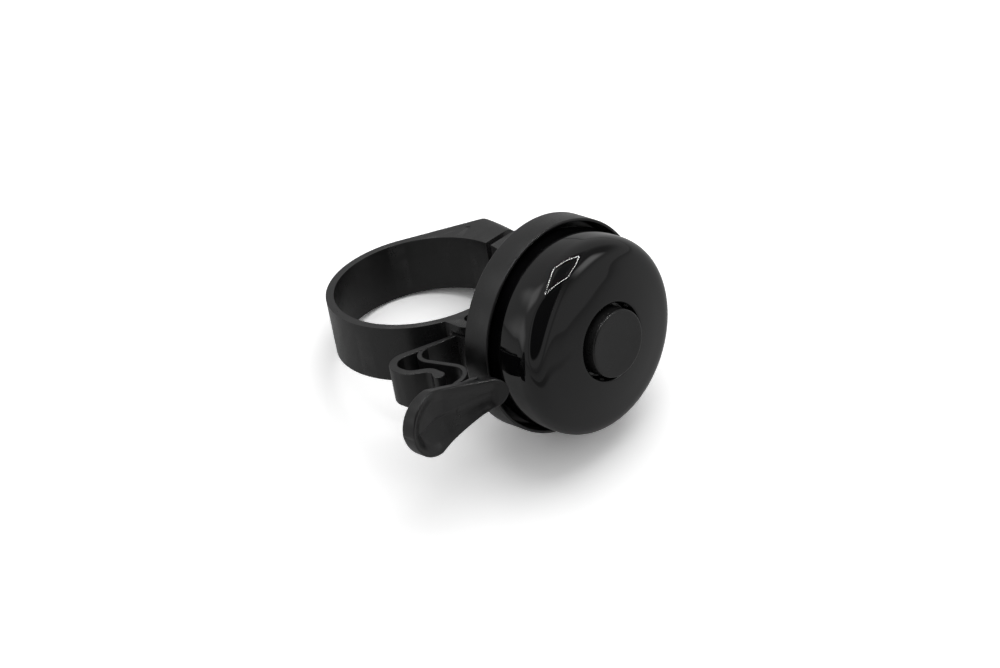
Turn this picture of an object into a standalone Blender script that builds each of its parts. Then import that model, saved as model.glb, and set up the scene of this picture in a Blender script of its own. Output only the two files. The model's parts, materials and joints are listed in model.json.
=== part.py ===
"""A small bicycle bell that clamps round an oversize handlebar and is rung with the thumb.

Metres, +Z up.  The bell is drawn in its own design frame and then laid down: in the design frame the
bar's axis is Z, the bell's axis is X (towards the dome) and the thumb lever is on the -Y side.
"""

import bmesh
import bpy
from math import acos, atan2, cos, pi, radians, sin, sqrt, tan
from mathutils import Matrix

MM = 0.001

# How the bell lies on a table: rolled about its own axis, then its dome raised until the far edge of the
# clamp band and the back edge of the cup both touch.
ROLL = radians(-8.1)
PITCH = radians(-19.8)

GAP = 0.3

# Clamp band, which closes on a bar of 31.8 mm
BORE_R = 15.9
BAND_R = 17.36
BAND_H = 10.56
PIN = (18.4, -5.4)
PIN_R = 1.1
PIN_HALF = 4.2
KNUCKLE_R = 2.9
KNUCKLE_H = 6.8
CHEEK_R = 3.5
FORK_R = 4.3
WALL_START = radians(-30.5)
LUG_START = radians(148.8)
LUG_CORNER = (-6.4, 23.0)
LUG_FACE = 0.85
LUG_TOP = 23.3
LUG_ROUND = 2.4
LUG_ROUND_LINE = ((-9.0, 25.2), (3.0, 23.15))
HEAD_SEAT = -5.6
POCKET_W = 6.3
POCKET_ROOM = 0.85

# Base block between the band and the cup
BLOCK_FACE = 2.25
BLOCK_TOP = 22.4
BLOCK_FRONT = 22.6
BLOCK_LOW = -8.75
NUT_X = (6.9, 9.5)
NUT_AF = 5.5

# Clamp screw, M3, along X through the lug and the block
SCREW_Y = 19.2
SCREW_R = 1.5
SCREW_HEAD_R = 2.75
SCREW_HEAD_H = 2.0
SCREW_END = 11.5
WASHER_R = 2.9
WASHER_T = 0.6
SLOT_HALF = 2.6

# Cup and dome, turned about the bell's axis
AXIS_Y = 6.73
CUP_R = 19.45
CUP_WALL = 0.6
CUP_BACK = 22.91
CUP_FRONT = 28.41
CUP_PLATE = 1.2
DOME_R = 17.9
DOME_T = 0.8
DOME_MOUTH = 27.1
SHOULDER_X = 34.2
SHOULDER_ORDER = 2.5
FACE_X = 39.3
FACE_R = 11.0
CROWN = 1.0
DIMPLE_R = 7.0
DIMPLE_FLOOR = 37.3
POST_R = 4.0
SEAT_T = 0.6
DOME_WASHER_R = 4.9
DOME_HEAD_H = 1.6
BELL_SCREW_END = 18.6
INSERT_X = (18.0, 22.0)
INSERT_R = 2.4
CAP_R = 6.2
CAP_FACE = 41.28
CAP_WALL = 1.0

# Lever guard, leaf spring and thumb lever, all centred on z = 0
GUARD_H = 6.8
GUARD_T = 1.5
GUARD_ROOT_T = 0.8
GUARD_TAPER = 9.0
BULB = (24.68, -20.22)
BULB_R = 1.07
GUARD_PATH = ((17.55, -8.9), (12.7, -22.85), (19.3, -22.85), (22.4, -19.75), BULB)
GUARD_BENDS = (3.1, 3.2, 2.2)
SPRING_H = 6.6
SPRING_T = 0.9
SPRING_LOOP = (18.6, -15.15)
SPRING_LOOP_R = 2.85
SPRING_LOOP_ANGLES = (radians(209), radians(284.5))
SPRING_PATH = ((19.31, -17.91), (29.3, -15.33), (29.3, -21.1), (29.9, -22.0))
SPRING_BENDS = (3.7, 0.8)
LEVER_PIVOT = (22.5, -17.4)
STRIKER_END = -14.0
STRIKER_R = 2.85
TAB_CENTRE = -28.3
TAB_R = 6.1
LEVER_X = 30.7
LEVER_CURL = 2.9

ROUND = 64
PLASTIC = (0.012, 0.012, 0.013)


def material(name, colour, roughness, metallic=0.0):
    """A Principled material; every sub-part gets its own."""
    made = bpy.data.materials.new(name)
    made.use_nodes = True
    shader = made.node_tree.nodes["Principled BSDF"]
    shader.inputs["Base Color"].default_value = (*colour, 1.0)
    shader.inputs["Roughness"].default_value = roughness
    shader.inputs["Metallic"].default_value = metallic
    made.diffuse_color = (*colour, 1.0)
    return made


def finish(name, bm, frame, origin, look, smooth=radians(35)):
    """Closes a bmesh drawn in design millimetres into an object whose origin is at the given point."""
    bmesh.ops.recalc_face_normals(bm, faces=bm.faces)
    bmesh.ops.transform(bm, matrix=Matrix.Translation([-c for c in origin]), verts=bm.verts)
    bmesh.ops.scale(bm, vec=(MM, MM, MM), verts=bm.verts)
    mesh = bpy.data.meshes.new(name)
    bm.to_mesh(mesh)
    bm.free()
    mesh.shade_smooth()
    mesh.set_sharp_from_angle(angle=smooth)
    obj = bpy.data.objects.new(name, mesh)
    bpy.context.scene.collection.objects.link(obj)
    obj.parent = frame
    obj.location = [c * MM for c in origin]
    if look is not None:
        mesh.materials.append(look)
    return obj


def arc(centre, radius, start, end, steps):
    """Points on a circle from one angle to another, ends included."""
    angles = [start + (end - start) * i / steps for i in range(steps + 1)]
    return [(centre[0] + radius * cos(a), centre[1] + radius * sin(a)) for a in angles]


def rounded_path(points, radii, steps=6):
    """A polyline whose inner corners are replaced by arcs of the given radii."""
    path = [points[0]]
    for before, corner, after, radius in zip(points, points[1:], points[2:], radii):
        ends = []
        for other in (before, after):
            run = sqrt((other[0] - corner[0]) ** 2 + (other[1] - corner[1]) ** 2)
            ends.append(((other[0] - corner[0]) / run, (other[1] - corner[1]) / run))
        (ax, ay), (bx, by) = ends
        half = acos(ax * bx + ay * by) / 2
        length = sqrt((ax + bx) ** 2 + (ay + by) ** 2)
        away = radius / sin(half) / length
        centre = [c + (u + v) * away for c, u, v in zip(corner, (ax, ay), (bx, by))]
        first = [c + u * radius / tan(half) for c, u in zip(corner, (ax, ay))]
        turn = pi - 2 * half
        side = 1 if ax * by - ay * bx < 0 else -1
        fx, fy = first[0] - centre[0], first[1] - centre[1]
        for i in range(steps + 1):
            a = side * turn * i / steps
            path.append((centre[0] + fx * cos(a) - fy * sin(a), centre[1] + fx * sin(a) + fy * cos(a)))
    path.append(points[-1])
    return path


def ribbon(path, thicknesses):
    """The outline of a strip that follows a path, with its thickness at each point."""
    left, right = [], []
    for i, ((x, y), thickness) in enumerate(zip(path, thicknesses)):
        x0, y0 = path[max(i - 1, 0)]
        x1, y1 = path[min(i + 1, len(path) - 1)]
        run = sqrt((x1 - x0) ** 2 + (y1 - y0) ** 2)
        nx, ny = -(y1 - y0) / run * thickness / 2, (x1 - x0) / run * thickness / 2
        left.append((x + nx, y + ny))
        right.append((x - nx, y - ny))
    return left + right[::-1]


def prism(outline, z0, z1):
    """A bmesh: an outline in X and Y, extruded from z0 to z1."""
    bm = bmesh.new()
    low = [bm.verts.new((x, y, z0)) for x, y in outline]
    high = [bm.verts.new((x, y, z1)) for x, y in outline]
    bm.faces.new(low[::-1])
    bm.faces.new(high)
    for i in range(len(low)):
        j = (i + 1) % len(low)
        bm.faces.new((low[i], low[j], high[j], high[i]))
    return bm


def turned(profile, centre_y=AXIS_Y, centre_z=0.0, steps=ROUND):
    """A bmesh: a closed profile of (x, radius) points turned about an axis along X."""
    bm = bmesh.new()
    rings = []
    for x, r in profile:
        if r == 0:
            rings.append([bm.verts.new((x, centre_y, centre_z))] * steps)
        else:
            spots = arc((centre_y, centre_z), r, 0, 2 * pi * (steps - 1) / steps, steps - 1)
            rings.append([bm.verts.new((x, y, z)) for y, z in spots])
    for ring, following in zip(rings, rings[1:] + rings[:1]):
        for i in range(steps):
            j = (i + 1) % steps
            corners = [ring[i], ring[j], following[j], following[i]]
            unique = list(dict.fromkeys(corners))
            if len(unique) > 2:
                bm.faces.new(unique)
    return bm


def tube(x0, x1, inner, outer, bevel=0.15):
    """Profile of a plain bush between two stations, with its outer edges broken."""
    return [(x0, inner), (x0, outer - bevel), (x0 + bevel, outer),
            (x1 - bevel, outer), (x1, outer - bevel), (x1, inner)]


def rod(x0, x1, radius):
    """Profile of a solid round bar between two stations."""
    return [(x0, 0), (x0, radius), (x1, radius), (x1, 0)]


def cut(obj, cutter_mesh, name, frame):
    """Subtracts a bmesh, kept in the file as a hidden wire cutter."""
    cutter = finish(name, cutter_mesh, frame, (0, 0, 0), None)
    cutter.hide_render = True
    cutter.display_type = "WIRE"
    boolean = obj.modifiers.new(name, "BOOLEAN")
    boolean.operation = "DIFFERENCE"
    boolean.solver = "EXACT"
    boolean.object = cutter


def disc_outline(centre, radius, steps=32):
    """A whole circle as an outline."""
    return arc(centre, radius, 0, 2 * pi * (steps - 1) / steps, steps - 1)


def lay_along_x(bm):
    """Turns a bmesh drawn along Z, with Y and Z in its outline, so that it runs along X."""
    turn = Matrix(((0, 0, 1, 0), (1, 0, 0, 0), (0, 1, 0, 0), (0, 0, 0, 1)))
    bmesh.ops.transform(bm, matrix=turn, verts=bm.verts)
    return bm


def slot_along_x(x0, x1, half_y, half_z, steps=8):
    """A bmesh: a slot through X whose section is long in Y with round ends."""
    flat = half_y - half_z
    section = arc((SCREW_Y + flat, 0), half_z, -pi / 2, pi / 2, steps)
    section += arc((SCREW_Y - flat, 0), half_z, pi / 2, 3 * pi / 2, steps)
    return lay_along_x(prism(section, x0, x1))


def box(low, high):
    """A bmesh: a plain box between two corners."""
    outline = [(low[0], low[1]), (high[0], low[1]), (high[0], high[1]), (low[0], high[1])]
    return prism(outline, low[2], high[2])


def lug_rounding(side):
    """A bmesh: what the rounded outer edge of the lug leaves off, on the side of Z that is given."""
    (x0, y0), (x1, y1) = LUG_ROUND_LINE
    run = sqrt((x1 - x0) ** 2 + (y1 - y0) ** 2)
    across = [(-LUG_ROUND * (1 - cos(a)), BAND_H / 2 - LUG_ROUND * (1 - sin(a)))
              for a in [pi / 2 * i / 8 for i in range(9)]]
    clear = 2 * BAND_R
    outline = across + [(-LUG_ROUND, clear), (clear, clear), (clear, BAND_H / 2 - LUG_ROUND)]
    bm = lay_along_x(prism([(s, side * z) for s, z in outline], 0, run))
    along = Matrix.Rotation(atan2(y1 - y0, x1 - x0), 4, "Z")
    bmesh.ops.transform(bm, matrix=Matrix.Translation((x0, y0, 0)) @ along, verts=bm.verts)
    return bm


def clamp_strap(frame):
    """The moving half of the band: fork at the hinge, round the bar, lug at the split."""
    tangent = (BAND_R * cos(LUG_START), BAND_R * sin(LUG_START))
    lug = rounded_path([tangent, LUG_CORNER, (LUG_FACE, LUG_TOP)], [1.3])
    end = acos(LUG_FACE / BORE_R)
    outline = arc((0, 0), BAND_R, WALL_START, LUG_START - 2 * pi, 44)[:-1] + lug
    seam = cheek_seam()
    outline += arc((0, 0), BORE_R, end, 2 * pi + seam, 52)[:-1]
    spot = (BORE_R * cos(seam), BORE_R * sin(seam))
    outline += arc(PIN, CHEEK_R, atan2(spot[1] - PIN[1], spot[0] - PIN[0]), -pi / 2, 24)
    strap = finish("clamp_strap", prism(outline, -BAND_H / 2, BAND_H / 2), frame, (*PIN, 0),
                   material("strap_plastic", PLASTIC, 0.42))
    half = KNUCKLE_H / 2 + GAP
    cut(strap, prism(disc_outline(PIN, FORK_R, 40), -half, half), "cut_fork", frame)
    cut(strap, prism(disc_outline(PIN, PIN_R + GAP, 20), -BAND_H, BAND_H), "cut_strap_pin", frame)
    cut(strap, slot_along_x(-20, 1.5, SLOT_HALF, SCREW_R + GAP), "cut_strap_slot", frame)
    low = (-20, SCREW_Y - WASHER_R - POCKET_ROOM, -POCKET_W / 2)
    cut(strap, box(low, (HEAD_SEAT, 30, POCKET_W / 2)), "cut_head_pocket", frame)
    for side, name in ((1, "cut_lug_upper"), (-1, "cut_lug_lower")):
        cut(strap, lug_rounding(side), name, frame)


def cheek_seam():
    """Angle, seen from the bar's axis, at which the strap's cheeks end on the bore."""
    reach = sqrt(PIN[0] ** 2 + PIN[1] ** 2)
    half = acos((reach ** 2 + BORE_R ** 2 - CHEEK_R ** 2) / (2 * reach * BORE_R))
    return atan2(PIN[1], PIN[0]) + half


def base_block(frame):
    """The fixed half: bar saddle, hinge knuckle, nut pocket and the seat of the cup."""
    to_pin = atan2(PIN[1], PIN[0])
    top = rounded_path([(BLOCK_FACE, 18), (BLOCK_FACE, BLOCK_TOP), (BLOCK_FRONT, BLOCK_TOP - 1.6),
                        (BLOCK_FRONT, 10)], [0.8, 1.5])[1:-1]
    saddle = arc((0, 0), BORE_R, to_pin, acos(BLOCK_FACE / BORE_R), 30)
    outline = saddle + top + [(BLOCK_FRONT, BLOCK_LOW)]
    outline += arc(PIN, KNUCKLE_R + GAP, radians(-78), to_pin - pi, 12)
    block = finish("base_block", prism(outline, -BAND_H / 2, BAND_H / 2), frame, (0, 0, 0),
                   material("block_plastic", PLASTIC, 0.42))
    for side, name in ((1, "cut_cheek_upper"), (-1, "cut_cheek_lower")):
        span = sorted((side * KNUCKLE_H / 2, side * BAND_H))
        cut(block, prism(disc_outline(PIN, CHEEK_R + GAP + 0.06, 40), *span), name, frame)
    cut(block, prism(disc_outline(PIN, PIN_R + GAP, 20), -BAND_H, BAND_H), "cut_block_pin", frame)
    cut(block, turned(rod(0, SCREW_END + 1, SCREW_R + GAP), SCREW_Y, 0, 24), "cut_block_screw", frame)
    half = NUT_AF / 2 + GAP
    low = (NUT_X[0] - GAP, SCREW_Y - NUT_AF / sqrt(3) - GAP, -half)
    cut(block, box(low, (NUT_X[1] + GAP, 30, half)), "cut_nut_pocket", frame)
    bore = turned(rod(INSERT_X[0] - GAP, CUP_BACK + 1, INSERT_R + GAP), steps=32)
    cut(block, bore, "cut_insert", frame)


def clamp_hardware(frame):
    """Hinge pin, clamp screw, washer and nut."""
    steel = material("screw_steel", (0.55, 0.55, 0.56), 0.3, 1.0)
    finish("hinge_pin", prism(disc_outline(PIN, PIN_R, 24), -PIN_HALF, PIN_HALF), frame, (*PIN, 0), steel)
    bm = lay_along_x(prism(disc_outline((SCREW_Y, 0), NUT_AF / sqrt(3), 6), *NUT_X))
    made = finish("clamp_nut", bm, frame, (NUT_X[0], SCREW_Y, 0),
                  material("nut_steel", (0.5, 0.5, 0.5), 0.35, 1.0))
    cut(made, turned(rod(0, 20, SCREW_R + GAP), SCREW_Y, 0, 24), "cut_nut_bore", frame)

    face = HEAD_SEAT - GAP
    bm = turned(tube(face - WASHER_T, face, SCREW_R + GAP, WASHER_R), SCREW_Y, 0, 32)
    finish("clamp_washer", bm, frame, (face, SCREW_Y, 0),
           material("washer_steel", (0.6, 0.6, 0.6), 0.3, 1.0))

    under = face - WASHER_T - GAP
    top = under - SCREW_HEAD_H
    profile = [(top, 0), (top, SCREW_HEAD_R * 0.7), (top + 0.5, SCREW_HEAD_R * 0.94),
               (top + 1.1, SCREW_HEAD_R), (under, SCREW_HEAD_R), (under, SCREW_R),
               (SCREW_END - 0.4, SCREW_R), (SCREW_END, SCREW_R - 0.4), (SCREW_END, 0)]
    screw = finish("clamp_screw", turned(profile, SCREW_Y, 0, 32), frame, (under, SCREW_Y, 0),
                   material("clamp_screw_steel", (0.55, 0.55, 0.56), 0.3, 1.0))
    for name, y, z in (("cut_cross_y", 1.7, 0.35), ("cut_cross_z", 0.35, 1.7)):
        cut(screw, box((top - 1, SCREW_Y - y, -z), (top + 1.0, SCREW_Y + y, z)), name, frame)


def base_cup(frame):
    """The shallow cup behind the dome."""
    inner = CUP_R - CUP_WALL
    floor = CUP_BACK + CUP_PLATE
    edge = 0.2
    profile = [(CUP_BACK, SCREW_R + GAP), (CUP_BACK, CUP_R - 0.5), (CUP_BACK + 0.15, CUP_R - 0.15),
               (CUP_BACK + 0.5, CUP_R), (CUP_FRONT - edge, CUP_R), (CUP_FRONT, CUP_R - edge),
               (CUP_FRONT, inner + edge), (CUP_FRONT - edge, inner), (floor + 0.4, inner),
               (floor, inner - 0.4), (floor, SCREW_R + GAP)]
    finish("base_cup", turned(profile, steps=72), frame, (CUP_BACK, AXIS_Y, 0),
           material("cup_plastic", PLASTIC, 0.45))


def dome_curve(radius, face_x, face_r, steps):
    """Shoulder of the dome, from the straight skirt to the edge of its face."""
    power = 2 / SHOULDER_ORDER
    points = []
    for i in range(steps + 1):
        t = pi / 2 * i / steps
        x = SHOULDER_X + (face_x - SHOULDER_X) * sin(t) ** power
        points.append((x, face_r + (radius - face_r) * cos(t) ** power))
    return points


def dome(frame):
    """The steel dome: straight skirt, round shoulder, flat face with a dimple for the cap."""
    outer = [(DOME_MOUTH, DOME_R - 0.2), (DOME_MOUTH + 0.2, DOME_R)]
    outer += dome_curve(DOME_R, FACE_X, FACE_R, 12)
    rim = FACE_X + CROWN * (1 - (DIMPLE_R / FACE_R) ** 2)
    outer += [(rim, DIMPLE_R + 0.35), (rim - 0.15, DIMPLE_R + 0.1), (rim - 0.5, DIMPLE_R)]
    outer += [(DIMPLE_FLOOR + 0.3, DIMPLE_R - 0.1), (DIMPLE_FLOOR, DIMPLE_R - 0.4),
              (DIMPLE_FLOOR, SCREW_R + GAP)]
    inner = [(DOME_MOUTH, DOME_R - DOME_T)]
    inner += dome_curve(DOME_R - DOME_T, FACE_X - DOME_T, FACE_R, 9)
    inner += [(FACE_X - DOME_T, DIMPLE_R + DOME_T), (DIMPLE_FLOOR - DOME_T, DIMPLE_R + DOME_T - 0.4),
              (DIMPLE_FLOOR - DOME_T, SCREW_R + GAP)]
    finish("dome", turned(outer + inner[::-1]), frame, (DOME_MOUTH, AXIS_Y, 0),
           material("dome_paint", (0.004, 0.004, 0.004), 0.05))


def dome_mount(frame):
    """Post, seat, washer, screw and threaded insert that hold the dome, and the cap over them."""
    under = DIMPLE_FLOOR - DOME_T - GAP
    hole = SCREW_R + GAP
    steel = (0.55, 0.55, 0.56)
    pieces = (
        ("thread_insert", tube(*INSERT_X, hole, INSERT_R),
         material("insert_brass", (0.6, 0.42, 0.18), 0.35, 1.0)),
        ("dome_post", tube(CUP_BACK + CUP_PLATE + GAP, under - SEAT_T - GAP, hole, POST_R),
         material("post_plastic", PLASTIC, 0.5)),
        ("dome_seat", tube(under - SEAT_T, under, hole, POST_R + 0.2),
         material("seat_rubber", (0.02, 0.02, 0.02), 0.8)),
        ("dome_washer", tube(DIMPLE_FLOOR + GAP, DIMPLE_FLOOR + GAP + SEAT_T, hole, DOME_WASHER_R),
         material("dome_washer_steel", steel, 0.3, 1.0)),
    )
    for name, profile, look in pieces:
        finish(name, turned(profile, steps=32), frame, (profile[0][0], AXIS_Y, 0), look)
    seat = DIMPLE_FLOOR + 2 * GAP + SEAT_T
    top = seat + DOME_HEAD_H
    profile = [(BELL_SCREW_END, 0), (BELL_SCREW_END, SCREW_R - 0.4), (BELL_SCREW_END + 0.4, SCREW_R),
               (seat, SCREW_R), (seat, SCREW_HEAD_R), (top - 0.5, SCREW_HEAD_R),
               (top, SCREW_HEAD_R - 0.6), (top, 0)]
    finish("dome_screw", turned(profile, steps=32), frame, (seat, AXIS_Y, 0),
           material("dome_screw_steel", steel, 0.3, 1.0))

    skirt = DIMPLE_FLOOR + GAP
    ceiling = top + GAP
    profile = [(skirt, CAP_R - CAP_WALL), (skirt, CAP_R), (CAP_FACE - 0.5, CAP_R),
               (CAP_FACE - 0.15, CAP_R - 0.15), (CAP_FACE, CAP_R - 0.5), (CAP_FACE, 0),
               (ceiling, 0), (ceiling, CAP_R - CAP_WALL)]
    finish("button_cap", turned(profile, steps=48), frame, (skirt, AXIS_Y, 0),
           material("cap_plastic", PLASTIC, 0.5))


def lever_guard(frame):
    """The arm that carries the spring, hooked round behind the lever and ending in a round stop."""
    path = rounded_path(GUARD_PATH, GUARD_BENDS, 8)
    root = GUARD_PATH[0]
    shares = [min(1.0, (root[1] - y) / GUARD_TAPER) for _, y in path]
    outline = ribbon(path, [GUARD_ROOT_T + (GUARD_T - GUARD_ROOT_T) * share for share in shares])
    half = len(path)
    bulb = arc(BULB, BULB_R, radians(125), radians(-145), 14)
    outline = outline[:half - 1] + bulb + outline[half + 1:]
    finish("lever_guard", prism(outline, -GUARD_H / 2, GUARD_H / 2), frame, (*root, 0),
           material("guard_plastic", PLASTIC, 0.42))


def lever_spring(frame):
    """The moulded leaf that joins the guard's arm to the back of the lever."""
    path = arc(SPRING_LOOP, SPRING_LOOP_R, *SPRING_LOOP_ANGLES, 8)
    path += rounded_path(SPRING_PATH, SPRING_BENDS, 8)[1:]
    outline = ribbon(path, [SPRING_T] * len(path))
    finish("lever_spring", prism(outline, -SPRING_H / 2, SPRING_H / 2), frame, (*LEVER_PIVOT, 0),
           material("spring_plastic", PLASTIC, 0.42))


def lever_middle(y):
    """X of the lever's mid-surface: straight to the tab, curling forward to the striker."""
    along = max(0.0, y + 27.0) / 13.0
    return LEVER_X + LEVER_CURL * along ** 1.8


def lever_half_height(y):
    """Half-height of the lever in Z: round striker, widening to a round tab."""
    striker, tab = STRIKER_END - STRIKER_R, TAB_CENTRE
    if y > striker:
        return sqrt(max(STRIKER_R ** 2 - (y - striker) ** 2, 0))
    if y < tab:
        return sqrt(max(TAB_R ** 2 - (y - tab) ** 2, 0))
    share = (striker - y) / (striker - tab)
    return STRIKER_R + (TAB_R - STRIKER_R) * share ** 1.1


def lever_thickness(y):
    """Thickness of the lever along X: thick striker, thin web, thick tab."""
    striker = max(0.0, (y + 19.0) / 5.8)
    tab = max(0.0, (-26.0 - y) / 7.5)
    return 1.6 + 0.9 * min(striker, 1) + 1.2 * min(tab, 1)


def thumb_lever(frame):
    """Lofted from sections across the lever, one at each station along Y."""
    striker, tab = STRIKER_END - STRIKER_R, TAB_CENTRE
    stations = [striker + STRIKER_R * cos(radians(a)) for a in (12, 30, 50, 70)]
    stations += [striker + (tab - striker) * i / 8 for i in range(9)]
    stations += [tab - TAB_R * sin(radians(a)) for a in (18, 36, 54, 70, 82)]
    bm = bmesh.new()
    rings = []
    for y in stations:
        tall, half = lever_half_height(y), lever_thickness(y) / 2
        corner = min(0.55, half * 0.7, tall * 0.7)
        middle = lever_middle(y)
        section = []
        for cx, cz, start in ((1, 1, 0), (-1, 1, 90), (-1, -1, 180), (1, -1, 270)):
            spot = (middle + cx * (half - corner), cz * (tall - corner))
            section += arc(spot, corner, radians(start), radians(start + 90), 3)
        rings.append([bm.verts.new((x, y, z)) for x, z in section])
    for ring, following in zip(rings, rings[1:]):
        for i in range(len(ring)):
            j = (i + 1) % len(ring)
            bm.faces.new((ring[i], ring[j], following[j], following[i]))
    bm.faces.new(rings[0])
    bm.faces.new(rings[-1][::-1])
    finish("thumb_lever", bm, frame, (*LEVER_PIVOT, 0), material("lever_plastic", PLASTIC, 0.45))


def main():
    """Clears the scene and builds every sub-part under one empty that lays the bell down."""
    for obj in list(bpy.data.objects):
        bpy.data.objects.remove(obj)
    frame = bpy.data.objects.new("lying_frame", None)
    bpy.context.scene.collection.objects.link(frame)
    frame.rotation_euler = (ROLL, PITCH, 0)
    for build in (clamp_strap, base_block, clamp_hardware, base_cup, dome, dome_mount,
                  lever_guard, lever_spring, thumb_lever):
        build(frame)


main()
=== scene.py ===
"""Looks of a small black bicycle bell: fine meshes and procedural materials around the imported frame.

Shapes are drawn in the bell's own design frame, in millimetres: Z is the handlebar's axis, X is the bell's
axis towards the dome, and the thumb lever is on the -Y side.  TO_ROW turns them into the row frame's metres.
"""

import json
from math import acos, atan2, cos, hypot, pi, radians, sin, sqrt, tan

import bmesh
import bpy
from mathutils import Matrix, Vector


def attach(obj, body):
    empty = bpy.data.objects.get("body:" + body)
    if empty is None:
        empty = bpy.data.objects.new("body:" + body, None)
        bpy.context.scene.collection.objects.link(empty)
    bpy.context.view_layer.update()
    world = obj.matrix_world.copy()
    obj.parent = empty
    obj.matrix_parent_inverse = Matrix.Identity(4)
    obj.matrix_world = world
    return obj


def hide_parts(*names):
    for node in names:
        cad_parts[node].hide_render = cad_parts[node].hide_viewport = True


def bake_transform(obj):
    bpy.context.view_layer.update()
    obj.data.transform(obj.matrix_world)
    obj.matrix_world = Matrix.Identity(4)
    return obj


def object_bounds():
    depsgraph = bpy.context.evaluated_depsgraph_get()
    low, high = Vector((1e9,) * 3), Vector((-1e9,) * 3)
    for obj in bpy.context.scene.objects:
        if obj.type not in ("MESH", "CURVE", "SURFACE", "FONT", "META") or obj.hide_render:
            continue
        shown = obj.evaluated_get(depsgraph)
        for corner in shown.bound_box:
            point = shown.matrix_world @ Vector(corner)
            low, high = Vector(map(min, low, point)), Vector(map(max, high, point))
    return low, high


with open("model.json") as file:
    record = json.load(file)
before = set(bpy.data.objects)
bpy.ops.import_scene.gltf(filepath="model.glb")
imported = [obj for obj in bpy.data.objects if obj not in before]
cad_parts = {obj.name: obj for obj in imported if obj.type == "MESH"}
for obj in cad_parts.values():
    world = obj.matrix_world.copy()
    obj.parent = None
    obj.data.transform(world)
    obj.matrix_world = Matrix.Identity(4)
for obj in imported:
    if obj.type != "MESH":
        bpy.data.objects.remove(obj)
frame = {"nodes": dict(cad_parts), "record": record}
cad_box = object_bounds()

MM = 0.001
RECORD = frame["record"]


# ---------------------------------------------------------------------------------------------------------
# The design frame and the sizes that the CAD parts give


def design_frame():
    """Matrix from design millimetres to the row frame: X is the screw's slide, Z the lever's hinge."""
    joints = {j["name"]: j for j in RECORD["behaviour"]["joints"]}
    x = Vector(joints["screw_advance"]["axis"]).normalized()
    z = Vector(joints["lever_flex"]["axis"])
    z = (z - z.dot(x) * x).normalized()
    turn = Matrix((x, z.cross(x), z)).transposed().to_4x4()
    return turn @ Matrix.Scale(MM, 4)


TO_ROW = design_frame()
TO_DESIGN = TO_ROW.inverted()


def span(node):
    """Lowest and highest corner of a CAD node, in design millimetres."""
    spots = [TO_DESIGN @ v.co for v in frame["nodes"][node].data.vertices]
    return [Vector([pick(s[i] for s in spots) for i in range(3)]) for pick in (min, max)]


STRAP, BLOCK, CUP, DOME = span("clamp_strap"), span("base_block"), span("base_cup"), span("dome")
CAP, PIN_BOX, WASHER, NUT = span("button_cap"), span("hinge_pin"), span("clamp_washer"), span("clamp_nut")
GUARD, SPRING = span("lever_guard"), span("lever_spring")

AXIS_Y = (CUP[0].y + CUP[1].y) / 2
CUP_R = (CUP[1].z - CUP[0].z) / 2
CUP_WALL, CUP_PLATE = 0.6, 1.2
BAND_H = STRAP[1].z - STRAP[0].z
BAND_R = -STRAP[0].x
BAND_T = 1.46
BORE_R = BAND_R - BAND_T
PIN = ((PIN_BOX[0].x + PIN_BOX[1].x) / 2, (PIN_BOX[0].y + PIN_BOX[1].y) / 2)
PIN_R = (PIN_BOX[1].x - PIN_BOX[0].x) / 2
KNUCKLE_R, KNUCKLE_H, CHEEK_R, FORK_R = 2.9, 6.8, 3.5, 4.3
GAP = 0.3
WEB_OUTER, WEB_INNER, WEB_SPAN = FORK_R - GAP - 0.05, 2.4, (radians(-55), radians(-150))
WALL_START, LUG_START = radians(-30.5), radians(148.8)
LUG_CORNER, LUG_FACE, LUG_TOP = (-6.4, 23.0), 0.85, 23.3
LUG_ROUND, LUG_ROUND_LINE = 2.4, ((-9.0, 25.2), (3.0, 23.15))
GATE, GATE_R, GATE_H = (-7.0, 19.2), 0.45, 0.1
POCKET_W, POCKET_ROOM = 6.3, 0.85
BLOCK_FACE, BLOCK_TOP, BLOCK_FRONT, BLOCK_LOW = 2.25, 22.4, BLOCK[1].x, -8.75
NUT_AF = 5.5
SCREW_Y = (WASHER[0].y + WASHER[1].y) / 2
SCREW_R, SLOT_HALF = 1.5, 2.6
WASHER_R = (WASHER[1].y - WASHER[0].y) / 2
HEAD_SEAT = WASHER[1].x + GAP

DOME_R = (DOME[1].z - DOME[0].z) / 2
DOME_T = 0.8
DOME_MOUTH = DOME[0].x
FACE_X, FACE_R, CROWN, SHOULDER_X = DOME[1].x - 0.6, 11.0, 1.0, DOME[1].x - 5.7
SHOULDER_POWER = 2.5
DIMPLE_R, DIMPLE_FLOOR = 7.0, CAP[0].x - GAP
CAP_R = (CAP[1].z - CAP[0].z) / 2
CAP_FACE = CAP[1].x

GUARD_H = GUARD[1].z - GUARD[0].z
GUARD_T, GUARD_ROOT_T, GUARD_TAPER = 1.5, 0.8, 9.0
BULB, BULB_R, BULB_SWELL = (24.68, -20.4), 1.07, 1.5
GUARD_ROOT_Y = -8.9
GUARD_PATH = [(17.95, -7.75), (12.7, -22.85), (19.3, -22.85), (22.4, -19.75)]
GUARD_BENDS = [3.1, 3.2, 2.2]
SPRING_H = SPRING[1].z - SPRING[0].z
SPRING_T = 0.9
SPRING_LOOP, SPRING_LOOP_R = (18.6, -15.15), 2.85
SPRING_PATH = [(19.31, -17.91), (29.3, -15.33), (29.3, -21.1), (30.9, -23.4)]
SPRING_BENDS = [3.7, 1.2]
STRIKER_END, STRIKER_R, TAB_CENTRE, TAB_R = -14.0, 2.85, -28.3, 6.1
LEVER_X, LEVER_CURL, CURL_FROM, CURL_POWER = 30.7, 2.9, -27.0, 1.8
LEVER_T, STRIKER_EXTRA_T, TAB_EXTRA_T = 1.6, 0.9, 1.2
DISH_DEPTH, FACET_DEPTH, HOLLOW_EDGE = 0.46, 0.6, 2.6
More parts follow.
